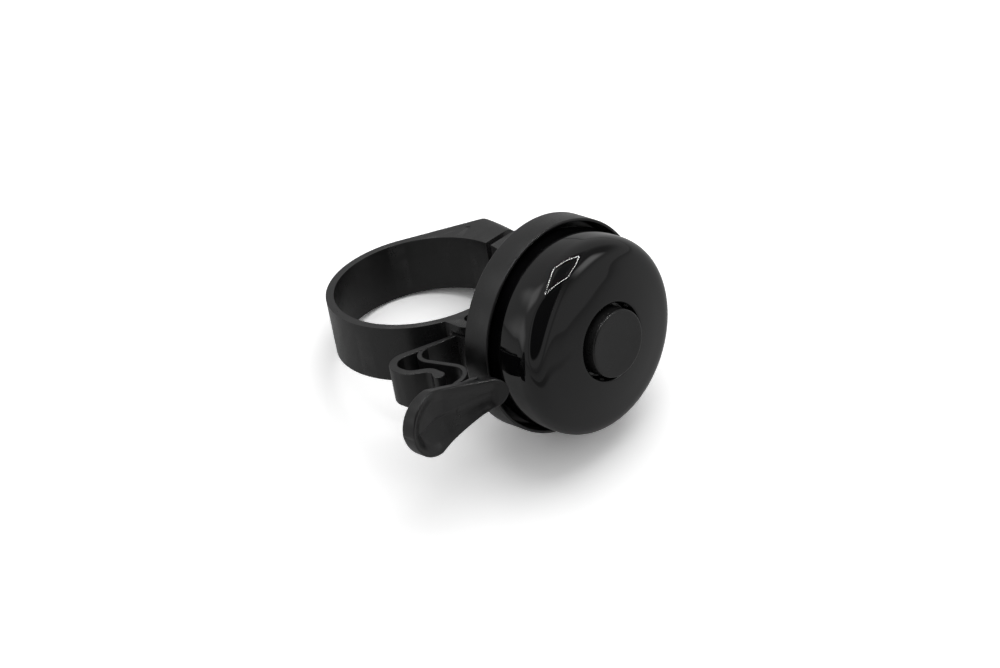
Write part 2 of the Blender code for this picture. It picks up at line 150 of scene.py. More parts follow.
VALLEY_Z, VALLEY_FALL = 0.5, 1.0
CREASE_DEPTH, CREASE_DEPTH_GROWS = 0.36, 0.04
CREASE_WALL, CREASE_WALL_GROWS, CREASE_FADE = 0.5, 1.3, 2.8
PAD_EDGE = 0.12
BOSS = [(30.2, -22.9), (29.95, -21.0), (30.4, -18.6), (31.3, -17.4), (31.6, -18.0), (30.4, -22.9)]

# The studio.  The floor's albedo and the surround's brightness differ by the kind of ray that meets them:
# straight from the camera, mirrored in the object, or scattered by a matt surface.
FLOOR_SEEN, FLOOR_MIRRORED, FLOOR_SCATTERED, FLOOR_REACH = 1.5, 0.5, 0.42, 6.0
TENT_SEEN, TENT_MIRRORED, TENT_LOW, TENT_HIGH, TENT_RISE = 1.0, 0.49, 0.22, 0.62, 0.6
LED_CORNERS = ((163, 50), (80, 56), (22, 41), (-95, 73))
LED_REACH, LED_COUNT, LED_HALF, LED_STRENGTH = 0.34, 13, 0.0021, 200.0


# ---------------------------------------------------------------------------------------------------------
# Meshes


def clamped(value):
    """The value, held between 0 and 1."""
    return min(1.0, max(0.0, value))


def ease(value, low, high):
    """0 below low, 1 above high, smooth between."""
    share = clamped((value - low) / (high - low))
    return share * share * (3 - 2 * share)


def arc(centre, radius, start, end, steps):
    """Points on a circle from one angle to another, ends included."""
    angles = [start + (end - start) * i / steps for i in range(steps + 1)]
    return [(centre[0] + radius * cos(a), centre[1] + radius * sin(a)) for a in angles]


def circle(centre, radius, steps=96):
    """A whole circle as an outline."""
    return arc(centre, radius, 0, 2 * pi * (steps - 1) / steps, steps - 1)


def rounded_path(points, radii, steps=14):
    """A polyline whose inner corners are replaced by arcs of the given radii."""
    path = [points[0]]
    for before, corner, after, radius in zip(points, points[1:], points[2:], radii):
        here = Vector(corner)
        a, b = (Vector(before) - here).normalized(), (Vector(after) - here).normalized()
        half = a.angle(b) / 2
        centre = here + (a + b).normalized() * radius / sin(half)
        first = here + a * radius / tan(half) - centre
        side = 1 if a.x * b.y - a.y * b.x < 0 else -1
        for i in range(steps + 1):
            turn = side * (pi - 2 * half) * i / steps
            path.append((centre.x + first.x * cos(turn) - first.y * sin(turn),
                         centre.y + first.x * sin(turn) + first.y * cos(turn)))
    path.append(points[-1])
    return path


def ribbon(path, thicknesses):
    """The outline of a strip that follows a path, with its thickness at each point."""
    left, right = [], []
    for i, ((x, y), thickness) in enumerate(zip(path, thicknesses)):
        x0, y0 = path[max(i - 1, 0)]
        x1, y1 = path[min(i + 1, len(path) - 1)]
        run = hypot(x1 - x0, y1 - y0)
        nx, ny = -(y1 - y0) / run * thickness / 2, (x1 - x0) / run * thickness / 2
        left.append((x + nx, y + ny))
        right.append((x - nx, y - ny))
    return left + right[::-1]


def prism(outline, z0, z1):
    """A bmesh: an outline in X and Y, extruded from z0 to z1."""
    bm = bmesh.new()
    low = [bm.verts.new((x, y, z0)) for x, y in outline]
    high = [bm.verts.new((x, y, z1)) for x, y in outline]
    bm.faces.new(low[::-1])
    bm.faces.new(high)
    for i in range(len(low)):
        j = (i + 1) % len(low)
        bm.faces.new((low[i], low[j], high[j], high[i]))
    bmesh.ops.recalc_face_normals(bm, faces=bm.faces)
    return bm


def lay_along_x(bm):
    """Turns a bmesh drawn along Z, with Y and Z in its outline, so that it runs along X."""
    turn = Matrix(((0, 0, 1, 0), (1, 0, 0, 0), (0, 1, 0, 0), (0, 0, 0, 1)))
    bmesh.ops.transform(bm, matrix=turn, verts=bm.verts)
    return bm


def turned(profile, centre=(AXIS_Y, 0.0), steps=192):
    """A bmesh: a closed profile of (x, radius) points turned about an axis along X."""
    bm = bmesh.new()
    rings = []
    for x, r in profile:
        if r == 0:
            rings.append([bm.verts.new((x, *centre))] * steps)
        else:
            rings.append([bm.verts.new((x, y, z)) for y, z in circle(centre, r, steps)])
    for ring, following in zip(rings, rings[1:] + rings[:1]):
        for i in range(steps):
            j = (i + 1) % steps
            unique = list(dict.fromkeys([ring[i], ring[j], following[j], following[i]]))
            if len(unique) > 2:
                bm.faces.new(unique)
    bmesh.ops.recalc_face_normals(bm, faces=bm.faces)
    return bm


def filleted(profile, radii, steps=5):
    """A closed profile whose corners are rounded by the given radii, 0 where a corner stays."""
    out = []
    count = len(profile)
    for i, (corner, radius) in enumerate(zip(profile, radii)):
        if radius == 0:
            out.append(corner)
        else:
            out += rounded_path([profile[i - 1], corner, profile[(i + 1) % count]], [radius], steps)[1:-1]
    return out


def box(low, high):
    """A bmesh: a plain box between two corners."""
    outline = [(low[0], low[1]), (high[0], low[1]), (high[0], high[1]), (low[0], high[1])]
    return prism(outline, low[2], high[2])


def slot_along_x(x0, x1, half_y, half_z, steps=16):
    """A bmesh: a slot through X whose section is long in Y with round ends."""
    flat = half_y - half_z
    section = arc((SCREW_Y + flat, 0), half_z, -pi / 2, pi / 2, steps)
    section += arc((SCREW_Y - flat, 0), half_z, pi / 2, 3 * pi / 2, steps)
    return lay_along_x(prism(section, x0, x1))


def to_object(name, bm):
    """Lays a bmesh from design millimetres into the row frame, as an object of its own."""
    bmesh.ops.transform(bm, matrix=TO_ROW, verts=bm.verts)
    bmesh.ops.recalc_face_normals(bm, faces=bm.faces)
    mesh = bpy.data.meshes.new(name)
    bm.to_mesh(mesh)
    bm.free()
    obj = bpy.data.objects.new(name, mesh)
    bpy.context.scene.collection.objects.link(obj)
    return obj


def settle(obj):
    """Replaces an object's mesh by what its modifiers make of it."""
    graph = bpy.context.evaluated_depsgraph_get()
    mesh = bpy.data.meshes.new_from_object(obj.evaluated_get(graph))
    obj.modifiers.clear()
    obj.data = mesh


def combine(obj, bm, operation):
    """Cuts a bmesh from an object, or adds it."""
    tool = to_object("tool", bm)
    boolean = obj.modifiers.new(operation, "BOOLEAN")
    boolean.operation = operation
    boolean.solver = "EXACT"
    boolean.object = tool
    settle(obj)
    bpy.data.objects.remove(tool)


def soften(obj, width, segments=3, angle=28):
    """Rounds an object's edges and keeps its flat faces flat in the shading."""
    obj.data.shade_smooth()
    bevel = obj.modifiers.new("edges", "BEVEL")
    bevel.width = width * MM
    bevel.segments = segments
    bevel.limit_method = "ANGLE"
    bevel.angle_limit = radians(angle)
    bevel.use_clamp_overlap = True
    bevel.miter_outer = "MITER_ARC"
    weights = obj.modifiers.new("flats", "WEIGHTED_NORMAL")
    weights.mode = "FACE_AREA_WITH_ANGLE"
    weights.weight = 60
    weights.keep_sharp = True
    settle(obj)


def smooth_below(obj, angle):
    """Smooth shading, with a hard edge where two faces meet at more than angle degrees."""
    obj.data.shade_smooth()
    obj.data.set_sharp_from_angle(angle=radians(angle))


def paint(obj, look):
    """Gives an object one material, in place of any that it has."""
    obj.data.materials.clear()
    obj.data.materials.append(look)


def dress(obj, body, look, node):
    """Gives a piece its material and its body, and hides the CAD node that it stands for."""
    paint(obj, look)
    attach(obj, body)
    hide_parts(node)


# ---------------------------------------------------------------------------------------------------------
# Materials


def join(tree, value, socket):
    """Links a socket to another, or gives it a plain value."""
    if isinstance(value, bpy.types.NodeSocket):
        tree.links.new(value, socket)
    else:
        socket.default_value = value


def put(tree, kind, inputs=(), **settings):
    """A new node with these settings, and with these inputs set or linked."""
    node = tree.nodes.new(kind)
    for key, value in settings.items():
        setattr(node, key, value)
    for key, value in dict(inputs).items():
        join(tree, value, node.inputs[key])
    return node


def bare_material(name):
    """A material whose node tree is still empty, and that tree."""
    made = bpy.data.materials.new(name)
    made.use_nodes = True
    made.node_tree.nodes.clear()
    return made, made.node_tree


class Nodes:
    """A short way to write an object's material."""

    def __init__(self, name):
        self.material = bpy.data.materials.new(name)
        self.material.use_nodes = True
        self.tree = self.material.node_tree
        self.shader = self.tree.nodes["Principled BSDF"]
        self.where = self.add("ShaderNodeTexCoord").outputs["Object"]

    def add(self, kind, inputs=(), **settings):
        return put(self.tree, kind, inputs, **settings)

    def noise(self, size, detail=2.0, stretch=(1, 1, 1), roughness=0.5):
        """Noise whose features are about size millimetres across."""
        spread = self.add("ShaderNodeMapping", {"Vector": self.where, "Scale": stretch})
        settings = {"Vector": spread.outputs["Vector"], "Scale": 0.6 / (size * MM), "Detail": detail,
                    "Roughness": roughness}
        return self.add("ShaderNodeTexNoise", settings).outputs["Fac"]

    def remap(self, value, low, high, to_low, to_high):
        node = self.add("ShaderNodeMapRange", {"Value": value, "From Min": low, "From Max": high,
                                               "To Min": to_low, "To Max": to_high})
        return node.outputs["Result"]

    def maths(self, operation, a, b):
        return self.add("ShaderNodeMath", {0: a, 1: b}, operation=operation).outputs[0]

    def blend(self, share, a, b):
        """Mixes two colours, or two colour outputs."""
        node = self.add("ShaderNodeMix", {"Factor": share}, data_type="RGBA")
        for socket, value in ((node.inputs[6], a), (node.inputs[7], b)):
            join(self.tree, value if isinstance(value, bpy.types.NodeSocket) else (*value, 1.0), socket)
        return node.outputs[2]

    def edges(self, low=0.52, high=0.6):
        """1 on worn convex edges, 0 on flat surfaces, broken up by noise."""
        edge = self.remap(self.add("ShaderNodeNewGeometry").outputs["Pointiness"], low, high, 0.0, 1.0)
        return self.maths("MULTIPLY", edge, self.remap(self.noise(1.6, 3.0), 0.35, 0.7, 0.15, 1.0))

    def bump(self, *layers):
        """Bump from (height, depth in millimetres) layers."""
        normal = None
        for height, depth in layers:
            inputs = {"Height": height, "Distance": depth * MM, "Strength": 1.0}
            if normal is not None:
                inputs["Normal"] = normal
            normal = self.add("ShaderNodeBump", inputs).outputs["Normal"]
        join(self.tree, normal, self.shader.inputs["Normal"])

    def set(self, **sockets):
        """Sets or links the shader's own sockets."""
        for key, value in sockets.items():
            socket = key.replace("_", " ").title().replace("Ior", "IOR")
            join(self.tree, value, self.shader.inputs[socket])


def moulded_plastic(name, tone=0.006, roughness=0.34, grain=0.0022):
    """Black moulded nylon: soft sheen, fine grain, faint flow marks and slightly polished, greyed edges."""
    n = Nodes(name)
    cloud = n.noise(4.0, 3.0)
    fine = n.noise(0.16, 2.0)
    flow = n.noise(1.2, 2.0, (1.0, 0.35, 0.35))
    worn = n.edges()
    base = n.blend(n.remap(cloud, 0.35, 0.65, 0.0, 1.0), [tone * 0.8] * 3,
                   [tone * 1.2, tone * 1.2, tone * 1.26])
    rough = n.maths("ADD", n.remap(fine, 0.3, 0.7, roughness - 0.05, roughness + 0.05),
                    n.remap(flow, 0.3, 0.7, -0.04, 0.05))
    n.set(base_color=n.blend(worn, base, [tone * 5.0] * 3),
          roughness=n.maths("SUBTRACT", rough, n.maths("MULTIPLY", worn, 0.08)), ior=1.5)
    n.bump((flow, 0.004), (fine, grain))
    return n.material


def gloss_paint(name):
    """Black stove enamel on steel: mirror gloss, faint orange peel, a few dust specks."""
    n = Nodes(name)
    peel = n.noise(1.5, 1.0)
    haze = n.noise(5.0, 3.0)
    cells = n.add("ShaderNodeTexVoronoi", {"Vector": n.where, "Scale": 190.0, "Randomness": 1.0})
    dust = n.maths("MULTIPLY", n.maths("LESS_THAN", cells.outputs["Distance"], 0.022),
                   n.maths("GREATER_THAN", n.noise(9.0, 1.0), 0.55))
    base = n.blend(n.remap(haze, 0.35, 0.65, 0.0, 1.0), (0.0016, 0.0016, 0.0018),
                   (0.0030, 0.0030, 0.0033))
    n.set(base_color=n.blend(dust, base, (0.35, 0.35, 0.35)),
          roughness=n.maths("ADD", n.remap(haze, 0.3, 0.7, 0.025, 0.06), n.maths("MULTIPLY", dust, 0.5)),
          ior=1.5)
    n.bump((peel, 0.0006))
    return n.material


def steel(name, tone=(0.52, 0.52, 0.53), roughness=0.28):
    """Zinc-plated steel with fine turning marks and dulled patches."""
    n = Nodes(name)
    cloud, fine = n.noise(1.5, 3.0), n.noise(0.1, 2.0)
    worn = n.edges()
    base = n.blend(n.remap(cloud, 0.35, 0.65, 0.0, 1.0), [c * 0.8 for c in tone], tone)
    n.set(base_color=n.blend(worn, base, [min(1.0, c * 1.3) for c in tone]), metallic=1.0,
          roughness=n.maths("ADD", n.remap(cloud, 0.3, 0.7, roughness - 0.06, roughness + 0.08),
                            n.remap(fine, 0.3, 0.7, -0.03, 0.03)))
    n.bump((fine, 0.002))
    return n.material


def rubber(name):
    """Dull black rubber."""
    n = Nodes(name)
    fine, cloud = n.noise(0.12, 3.0), n.noise(2.0, 2.0)
    n.set(base_color=n.blend(n.remap(cloud, 0.3, 0.7, 0.0, 1.0), (0.012,) * 3, (0.022,) * 3),
          roughness=n.remap(fine, 0.3, 0.7, 0.7, 0.85), ior=1.5)
    n.bump((fine, 0.006))
    return n.material


# ---------------------------------------------------------------------------------------------------------
# The clamp


def cheek_seam():
    """Angle, seen from the bar's axis, at which the strap's cheeks end on the bore."""
    reach = hypot(*PIN)
    return atan2(PIN[1], PIN[0]) + acos((reach ** 2 + BORE_R ** 2 - CHEEK_R ** 2) / (2 * reach * BORE_R))


def lug_rounding(side):
    """A bmesh: what the rounded outer edge of the lug leaves off, on the side of Z that is given."""
    (x0, y0), (x1, y1) = LUG_ROUND_LINE
    turns = [pi / 2 * i / 24 for i in range(25)]
    across = [(-LUG_ROUND * (1 - cos(a)), BAND_H / 2 - LUG_ROUND * (1 - sin(a))) for a in turns]
    clear = 2 * BAND_R
    outline = across + [(-LUG_ROUND, clear), (clear, clear), (clear, BAND_H / 2 - LUG_ROUND)]
    bm = lay_along_x(prism([(u, side * v) for u, v in outline], 0, hypot(x1 - x0, y1 - y0)))
    along = Matrix.Rotation(atan2(y1 - y0, x1 - x0), 4, "Z")
    bmesh.ops.transform(bm, matrix=Matrix.Translation((x0, y0, 0)) @ along, verts=bm.verts)
    return bm


def clamp_strap(look):
    """The moving half of the band, with its hinge fork, lug, screw slot and head pocket."""
    tangent = (BAND_R * cos(LUG_START), BAND_R * sin(LUG_START))
    lug = rounded_path([tangent, LUG_CORNER, (LUG_FACE, LUG_TOP)], [1.3])
    end = acos(LUG_FACE / BORE_R)
    outline = arc((0, 0), BAND_R, WALL_START, LUG_START - 2 * pi, 120)[:-1] + lug
    seam = cheek_seam()
    outline += arc((0, 0), BORE_R, end, 2 * pi + seam, 140)[:-1]
    spot = (BORE_R * cos(seam), BORE_R * sin(seam))
    outline += arc(PIN, CHEEK_R, atan2(spot[1] - PIN[1], spot[0] - PIN[0]), -pi / 2, 48)
    strap = to_object("strap_band", prism(outline, -BAND_H / 2, BAND_H / 2))
    half = KNUCKLE_H / 2 + GAP
    combine(strap, prism(circle(PIN, FORK_R), -half, half), "DIFFERENCE")
    combine(strap, prism(circle(PIN, PIN_R + GAP, 48), -BAND_H, BAND_H), "DIFFERENCE")
    combine(strap, slot_along_x(-20, 1.5, SLOT_HALF, SCREW_R + GAP), "DIFFERENCE")
    low = (-20, SCREW_Y - WASHER_R - POCKET_ROOM, -POCKET_W / 2)
    combine(strap, box(low, (HEAD_SEAT, 30, POCKET_W / 2)), "DIFFERENCE")
    for side in (1, -1):
        combine(strap, lug_rounding(side), "DIFFERENCE")
    combine(strap, prism(circle(GATE, GATE_R, 32), BAND_H / 2 - GAP, BAND_H / 2 + GATE_H), "UNION")
    soften(strap, 0.2)
    dress(strap, "strap", look, "clamp_strap")


def base_block(look):
    """The fixed half: bar saddle, hinge knuckle, nut pocket and the seat of the cup, with a web that fills
    the strap's fork.  Its edges stay sharp: rounding them left streaks on the saddle."""
    top = rounded_path([(BLOCK_FACE, 18), (BLOCK_FACE, BLOCK_TOP), (BLOCK_FRONT, BLOCK_TOP - 1.6),
                        (BLOCK_FRONT, 10)], [0.8, 1.5])[1:-1]
    to_pin = atan2(PIN[1], PIN[0])
    saddle = arc((0, 0), BORE_R, to_pin, acos(BLOCK_FACE / BORE_R), 80)
    outline = saddle + top + [(BLOCK_FRONT, BLOCK_LOW)]
    outline += arc(PIN, KNUCKLE_R + GAP, radians(-78), to_pin - pi, 30)
    block = to_object("saddle_block", prism(outline, -BAND_H / 2, BAND_H / 2))
    for side in (1, -1):
        span_z = sorted((side * KNUCKLE_H / 2, side * BAND_H))
        combine(block, prism(circle(PIN, CHEEK_R + GAP + 0.06), *span_z), "DIFFERENCE")
    combine(block, prism(circle(PIN, PIN_R + 0.05, 48), -BAND_H, BAND_H), "DIFFERENCE")
    screw_hole = [(0, 0), (0, SCREW_R + GAP), (12.5, SCREW_R + GAP), (12.5, 0)]
    combine(block, turned(screw_hole, (SCREW_Y, 0), 48), "DIFFERENCE")
    web = arc(PIN, WEB_OUTER, *WEB_SPAN, 30) + arc(PIN, WEB_INNER, *WEB_SPAN[::-1], 12)
    combine(block, prism(web, -KNUCKLE_H / 2, KNUCKLE_H / 2), "UNION")
    half = NUT_AF / 2 + GAP
    low = (NUT[0].x - GAP, SCREW_Y - NUT_AF / sqrt(3) - GAP, -half)
    combine(block, box(low, (NUT[1].x + GAP, 30, half)), "DIFFERENCE")
    smooth_below(block, 30)
    dress(block, "base", look, "base_block")


# ---------------------------------------------------------------------------------------------------------
# The bell


def base_cup(look):
    """The shallow cup behind the dome, with a rounded rim and a stepped back."""
    inner, floor = CUP_R - CUP_WALL, CUP[0].x + CUP_PLATE
    back, front = CUP[0].x, CUP[1].x
    profile = [(back, SCREW_R + GAP), (back, CUP_R - 1.6), (back, CUP_R), (front, CUP_R), (front, inner),
               (floor, inner), (floor, 9.0), (floor + 0.5, 8.4), (floor + 0.5, SCREW_R + GAP)]
    shape = filleted(profile, [0, 0, 0.45, 0.22, 0.22, 0.5, 0, 0, 0])
    cup = to_object("cup_shell", turned(shape, steps=256))
    smooth_below(cup, 40)
    dress(cup, "base", look, "base_cup")


def shoulder(radius, face_x, steps):
    """The dome's round shoulder as (x, radius) points, from its straight skirt to the edge of its face."""
    power = 2 / SHOULDER_POWER
    points = []
    for i in range(steps + 1):
        t = pi / 2 * i / steps
        points.append((SHOULDER_X + (face_x - SHOULDER_X) * sin(t) ** power,
                       FACE_R + (radius - FACE_R) * cos(t) ** power))
    return points


def dome_station(r):
    """X of the dome's outside at a radius: one smooth curve over shoulder and face."""
    beyond = max(0.0, (r - FACE_R) / (DOME_R - FACE_R))
    out = max(0.0, 1 - beyond ** SHOULDER_POWER) ** (1 / SHOULDER_POWER)
    crown = CROWN * (1 - (r / FACE_R) ** 2)
    if r >= FACE_R:
        near = clamped((DOME_R - r) / (DOME_R - FACE_R))
        crown = crown * near ** 2 * (3 - 2 * near)
    return SHOULDER_X + (FACE_X - SHOULDER_X) * out + crown


def dome(look):
    """The steel dome: skirt, shoulder, slightly crowned face and the dimple round the cap."""
    outer = [(DOME_MOUTH + 0.02, DOME_R - 0.3), (DOME_MOUTH, DOME_R - 0.22),
             (DOME_MOUTH + 0.06, DOME_R - 0.06), (DOME_MOUTH + 0.22, DOME_R), (SHOULDER_X - 1.0, DOME_R)]
    lip = DIMPLE_R + 0.5
    radii = [DOME_R - (DOME_R - lip) * (1 - cos(pi / 2 * i / 72)) for i in range(73)]
    outer += [(dome_station(r), r) for r in radii]
    rim = outer[-1][0]
    side = (rim - 1.2, DIMPLE_R - 0.1)
    outer += rounded_path([(rim, lip), (rim + 0.03, DIMPLE_R), side], [0.4], 8)[1:]
    outer += rounded_path([side, (DIMPLE_FLOOR, DIMPLE_R - 0.15), (DIMPLE_FLOOR, 3.0)], [0.35], 6)[1:]
    outer += [(DIMPLE_FLOOR, SCREW_R + GAP)]
    inner = [(DOME_MOUTH + 0.02, DOME_R - DOME_T)] + shoulder(DOME_R - DOME_T, FACE_X - DOME_T, 24)
    inner += [(FACE_X - DOME_T, DIMPLE_R + DOME_T), (DIMPLE_FLOOR - DOME_T, DIMPLE_R + DOME_T - 0.4),
              (DIMPLE_FLOOR - DOME_T, SCREW_R + GAP)]
    shell = to_object("dome_shell", turned(outer + inner[::-1], steps=256))
    smooth_below(shell, 50)
    dress(shell, "base", look, "dome")


def button_cap(look):
    """The plastic cap in the dimple: straight side, rounded edge, faintly dished face."""
    back, wall = CAP[0].x, 1.0
    outer = [(back, CAP_R - wall), (back, CAP_R - 0.1), (back + 0.1, CAP_R)]
    edge = [(back + 0.1, CAP_R), (CAP_FACE, CAP_R - 0.06), (CAP_FACE, CAP_R - 2)]
    outer += rounded_path(edge, [0.32], 7)[1:-1]
    outer += [(CAP_FACE - 0.10 * (1 - (r / 5.6) ** 2), r) for r in (5.4, 4.6, 3.7, 2.8, 1.9, 1.0, 0)]
    ceiling = CAP_FACE - 1.0
    cap = to_object("cap_button", turned(outer + [(ceiling, 0), (ceiling, CAP_R - wall)], steps=192))
    smooth_below(cap, 45)
    dress(cap, "base", look, "button_cap")


# ---------------------------------------------------------------------------------------------------------
# Guard, spring and lever


def lever_guard(look):
    """The arm beside the lever, hooked round and ending in a round stop."""
    path = rounded_path(GUARD_PATH + [BULB], GUARD_BENDS, 24)
    last, end = Vector(path[-2]), Vector(path[-1])
    path[-1:] = [tuple(last.lerp(end, i / 16)) for i in range(1, 17)]
    widths = []
    for x, y in path:
        share = clamped((GUARD_ROOT_Y - y) / GUARD_TAPER)
        swell = ease(BULB_SWELL - hypot(x - BULB[0], y - BULB[1]), 0, BULB_SWELL)
        width = GUARD_ROOT_T + (GUARD_T - GUARD_ROOT_T) * share
        widths.append(width + (2 * BULB_R - width) * swell)
    outline = ribbon(path, widths)
    heading = atan2(end.y - last.y, end.x - last.x)
    outline[len(path):len(path)] = arc(BULB, BULB_R, heading + pi / 2, heading - pi / 2, 24)[1:-1]
    guard = to_object("guard_arm", prism(outline, -GUARD_H / 2, GUARD_H / 2))
    soften(guard, 0.14)
    dress(guard, "base", look, "lever_guard")


def lever_spring(look):
    """The S-shaped leaf between the guard's arm and the lever, baked where it lies at rest."""
    path = [(15.6, -14.0)] + arc(SPRING_LOOP, SPRING_LOOP_R, pi, radians(284.5), 24)
    path += rounded_path(SPRING_PATH, SPRING_BENDS, 20)[1:]
    outline = ribbon(path, [SPRING_T] * len(path))
    spring = to_object("spring_leaf", prism(outline, -SPRING_H / 2, SPRING_H / 2))
    soften(spring, 0.14)
    paint(spring, look)
    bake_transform(spring)
    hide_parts("lever_spring")


def lever_middle(y):
    """X of the lever's mid-surface: straight to the tab, curling forward to the striker."""
    return LEVER_X + LEVER_CURL * (max(0.0, y - CURL_FROM) / (STRIKER_END - CURL_FROM)) ** CURL_POWER


def lever_half_height(y):
    """Half-height of the lever in Z: round striker, widening to a round tab."""
    striker = STRIKER_END - STRIKER_R
    if y > striker:
        return sqrt(max(STRIKER_R ** 2 - (y - striker) ** 2, 0))
    if y < TAB_CENTRE:
        return sqrt(max(TAB_R ** 2 - (y - TAB_CENTRE) ** 2, 0))
    share = (striker - y) / (striker - TAB_CENTRE)
    return STRIKER_R + (TAB_R - STRIKER_R) * share ** 1.1


def lever_thickness(y):
    """Thickness of the lever along X: thick striker, thin web, thick tab."""
    striker, tab = clamped((y + 19.0) / 5.8), clamped((-26.0 - y) / 7.5)
    return LEVER_T + STRIKER_EXTRA_T * striker + TAB_EXTRA_T * tab


def lever_hollow(y, z, tall):
    """How far the lever's front is cut back at a point: a dished tab, two shallow facets that meet in a
    valley, a crease along the valley's lower side, and a step down before the striker's pad."""
    valley = VALLEY_Z - VALLEY_FALL * ease(-y, 27, 32)
    share = min(1.0, abs(z - valley) / (tall - valley if z > valley else tall + valley))
    inside = TAB_R - hypot(y - TAB_CENTRE, z) if y < TAB_CENTRE else tall - abs(z)
    before_pad = 1 - ease(y - 0.12 * z, STRIKER_END - 2.7, STRIKER_END - 2.0)
    dish = DISH_DEPTH * ease(inside, 0.1, HOLLOW_EDGE) * ease(-y, 24, 29)
    facets = FACET_DEPTH * (1 - share ** 1.2) * ease(inside, 0, HOLLOW_EDGE)
    spread = ease(y, -29, -21)
    below, wall = valley - z, CREASE_WALL + CREASE_WALL_GROWS * spread
    crease = (CREASE_DEPTH + CREASE_DEPTH_GROWS * spread) * ease(below, 0, wall)
    crease *= 1 - ease(below, wall, wall + CREASE_FADE)
    crease *= ease(y, -32.8, -31.4) * ease(inside, 0, 1.2)
    return (dish + facets + crease) * before_pad + PAD_EDGE * (1 - before_pad) * ease(0.5 - inside, 0, 0.5)


def thumb_lever(look):
    """Lofted from sections across the lever, with a hollowed front and a boss where the leaf meets it."""
    striker = STRIKER_END - STRIKER_R
    stations = [striker + STRIKER_R * cos(radians(a)) for a in range(5, 90, 5)]
    stations += [striker + (TAB_CENTRE - striker) * i / 60 for i in range(61)]
    stations += [TAB_CENTRE - TAB_R * sin(radians(a)) for a in range(3, 88, 3)]
    bm = bmesh.new()
    rings = []
    across = 72
    for y in stations:
        tall, half = lever_half_height(y), lever_thickness(y) / 2
        corner = min(0.4, half * 0.7, tall * 0.7)
        middle = lever_middle(y)
        section = []
        for i in range(across + 1):
            z = (tall - corner) * (1 - 2 * i / across)
            section.append((middle + half - lever_hollow(y, z, tall), z))
        for side, turns in ((-1, (0, -pi / 2)), (1, (pi / 2, 0))):
            edge = middle + half - corner - lever_hollow(y, side * (tall - corner), tall)
            rim = arc((edge, side * (tall - corner)), corner, *turns, 6)
            if side < 0:
                section += rim[1:]
                section += arc((middle - half + corner, corner - tall), corner, -pi / 2, -pi, 6)
                section += arc((middle - half + corner, tall - corner), corner, pi, pi / 2, 6)
            else:
                section += rim[:-1]
        rings.append([bm.verts.new((x, y, z)) for x, z in section])
    for ring, following in zip(rings, rings[1:]):
        for i in range(len(ring)):
            j = (i + 1) % len(ring)
            bm.faces.new((ring[i], ring[j], following[j], following[i]))
    bm.faces.new(rings[0])
    bm.faces.new(rings[-1][::-1])
    lever = to_object("lever_blade", bm)
    combine(lever, prism(BOSS, -SPRING_H / 2, SPRING_H / 2), "UNION")
    smooth_below(lever, 60)
    dress(lever, "lever", look, "thumb_lever")


# ---------------------------------------------------------------------------------------------------------
# The studio


def staged(name, verts, faces, material, **flags):
    """A mesh of the studio, which isn't part of the object."""
    mesh = bpy.data.meshes.new(name)
    mesh.from_pydata([tuple(v) for v in verts], [], faces)
    mesh.materials.append(material)
    obj = bpy.data.objects.new(name, mesh)
    bpy.context.scene.collection.objects.link(obj)
    for key, value in flags.items():
        setattr(obj, key, value)
    return obj


def direction(azimuth, elevation, reach=1.0):
    """A point at that azimuth from +X and that elevation, seen from the bell."""
    a, e = radians(azimuth), radians(elevation)
    return Vector((cos(a) * cos(e), sin(a) * cos(e), sin(e))) * reach


def glow(name, strength):
    """A plain white emitter."""
    made, tree = bare_material(name)
    lamp = put(tree, "ShaderNodeEmission", {"Strength": strength})
    put(tree, "ShaderNodeOutputMaterial", {0: lamp.outputs[0]})
    return made


def floor(level):
    """A flat matt sheet that the camera sees far paler than reflections and matt surfaces do."""
    made, tree = bare_material("floor")
    path = put(tree, "ShaderNodeLightPath")
    mirrored = put(tree, "ShaderNodeMapRange", {"Value": path.outputs["Is Glossy Ray"],
                                                "To Min": FLOOR_SCATTERED, "To Max": FLOOR_MIRRORED})
    tone = put(tree, "ShaderNodeMapRange", {"Value": path.outputs["Is Camera Ray"],
                                            "To Min": mirrored.outputs["Result"], "To Max": FLOOR_SEEN})
    matt = put(tree, "ShaderNodeBsdfDiffuse", {"Color": tone.outputs["Result"]})
    put(tree, "ShaderNodeOutputMaterial", {0: matt.outputs[0]})
    corners = [(x * FLOOR_REACH, y * FLOOR_REACH, level) for x, y in ((-1, -1), (1, -1), (1, 1), (-1, 1))]
    staged("floor_sheet", corners, [(0, 1, 2, 3)], made)


def led_frame():
    """Four lines of small lamps overhead, seen only in reflections, as a dotted outline in the dome."""
    corners = [direction(azimuth, elevation, LED_REACH) for azimuth, elevation in LED_CORNERS]
    verts, faces = [], []
    for a, b in zip(corners, corners[1:] + corners[:1]):
        along = (b - a).normalized()
        side = along.cross((a + b).normalized()).normalized()
        for i in range(LED_COUNT):
            middle = a.lerp(b, (i + 0.5) / LED_COUNT)
            start = len(verts)
            verts += [middle + (along * u + side * v) * LED_HALF
                      for u, v in ((-1, -1), (1, -1), (1, 1), (-1, 1))]
            faces.append(tuple(range(start, start + 4)))
    staged("led_lamps", verts, faces, glow("led", LED_STRENGTH), visible_camera=False, visible_diffuse=False)


